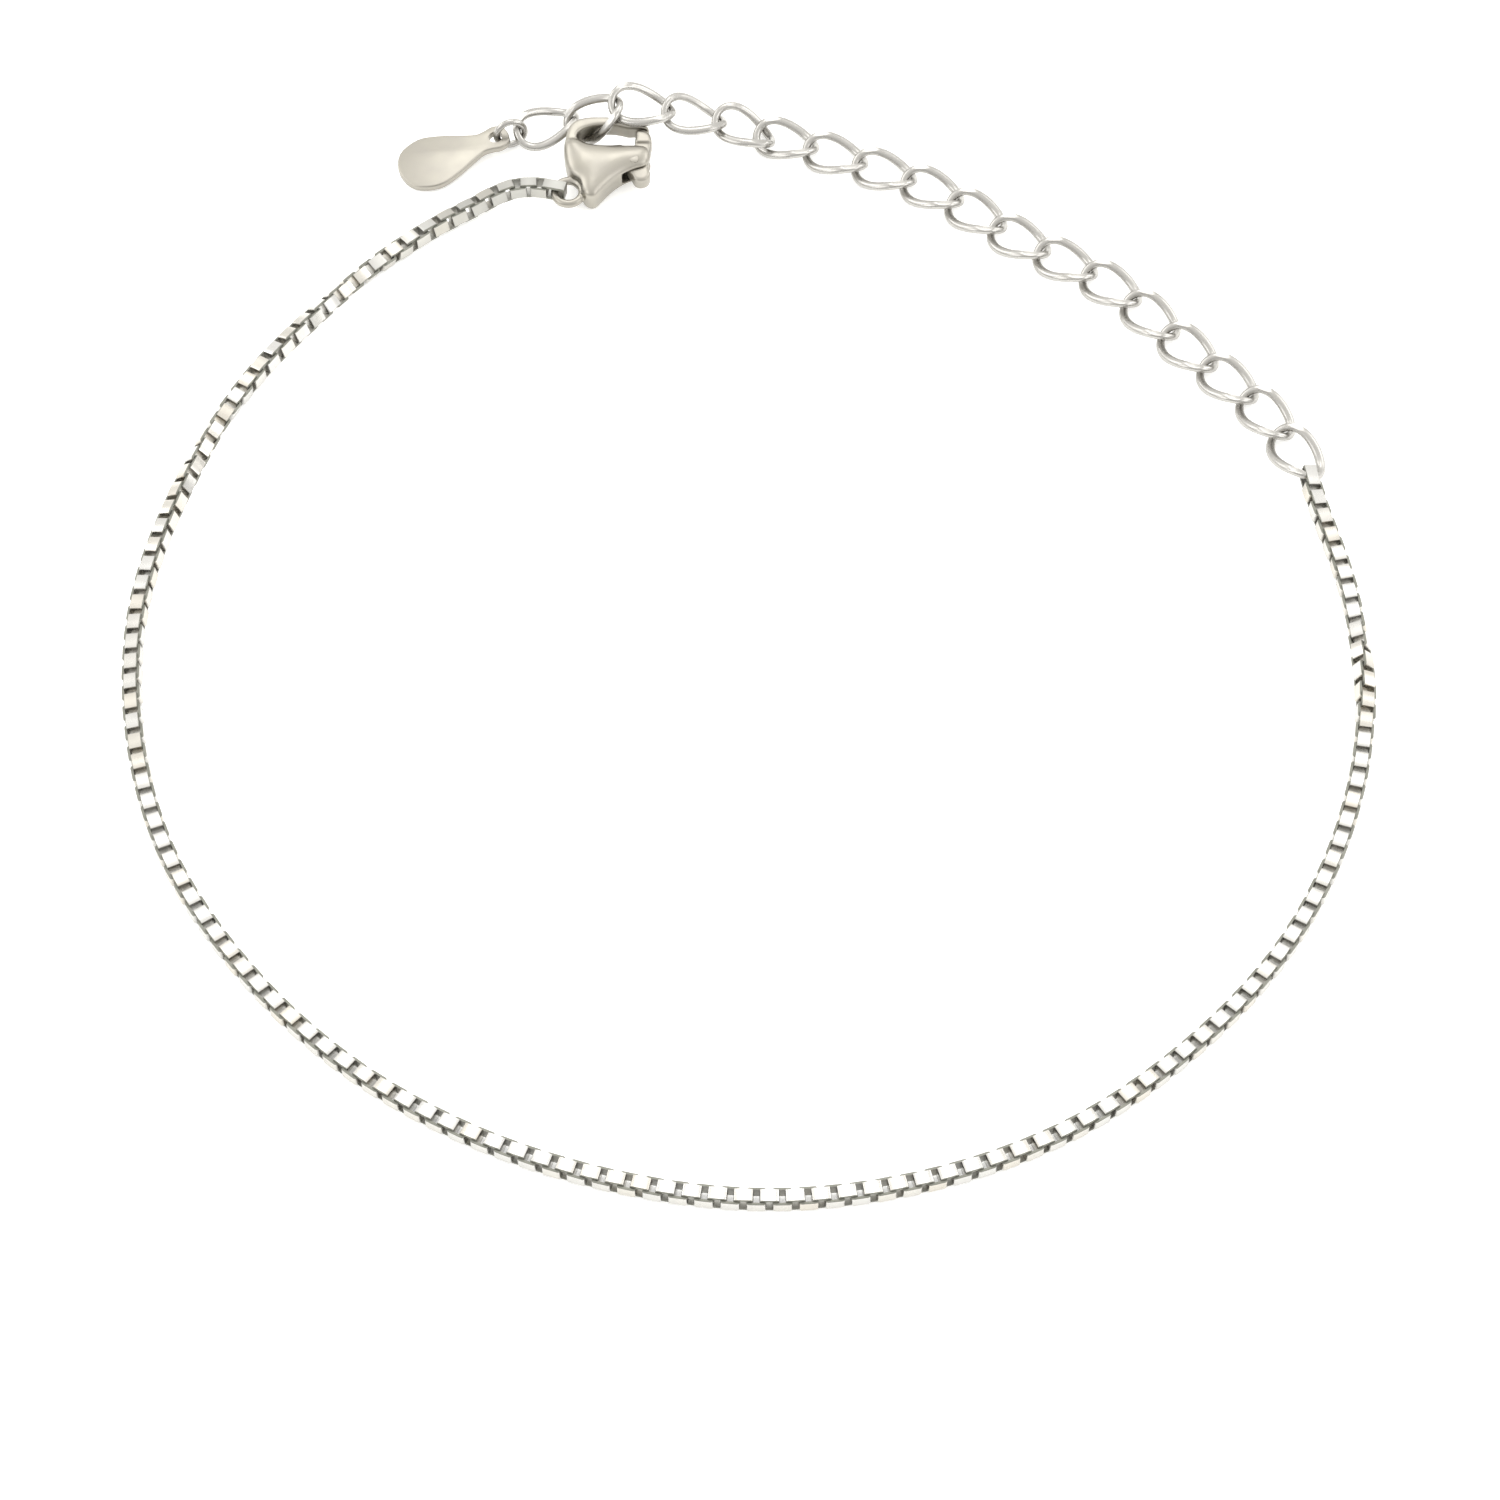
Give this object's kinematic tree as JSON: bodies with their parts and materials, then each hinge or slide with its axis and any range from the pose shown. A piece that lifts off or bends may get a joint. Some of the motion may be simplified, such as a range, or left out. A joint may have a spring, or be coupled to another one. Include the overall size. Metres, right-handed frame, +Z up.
{
  "type": "box chain bracelet",
  "caption": "Fine box chain bracelet with a curb-link extender, a plain teardrop tag and a lobster clasp, closed and lying flat.",
  "frame": {"origin": "middle of the loop's bounding box, on the surface it lies on", "axes": "+Z up, +X right, +Y away from the viewer, towards the clasp and the extender"},
  "size_m": [0.0682, 0.073, 0.0034],
  "materials": {
    "polished_silver": "polished sterling silver",
    "satin_silver": "satin sterling silver"
  },
  "bodies": {
    "bracelet": {"box_chain_clasp_half": "polished_silver", "box_chain_extender_half": "polished_silver", "extender_link_01": "polished_silver", "extender_link_02": "polished_silver", "extender_link_03": "polished_silver", "extender_link_04": "polished_silver", "extender_link_05": "polished_silver", "extender_link_06": "polished_silver", "extender_link_07": "polished_silver", "extender_link_08": "polished_silver", "extender_link_09": "polished_silver", "extender_link_10": "polished_silver", "extender_link_11": "polished_silver", "extender_link_12": "polished_silver", "extender_link_13": "polished_silver", "extender_link_14": "polished_silver", "extender_link_15": "polished_silver", "extender_link_16": "polished_silver", "extender_link_17": "polished_silver", "extender_link_18": "polished_silver", "clasp_body": "satin_silver", "clasp_rivet": "polished_silver", "tag": "satin_silver", "tag_ring": "polished_silver"},
    "lever": {"clasp_lever": "polished_silver"}
  },
  "joints": [
    {"name": "lever_hinge", "type": "hinge", "parent": "bracelet", "child": "lever", "pos_m": [-0.00668, 0.03139, 0.00126], "axis": [0, -0.1219, 0.9925], "range_deg": [0, 20], "stiffness_Nm_per_rad": 0.0005, "springref_deg": -17.19}
  ]
}
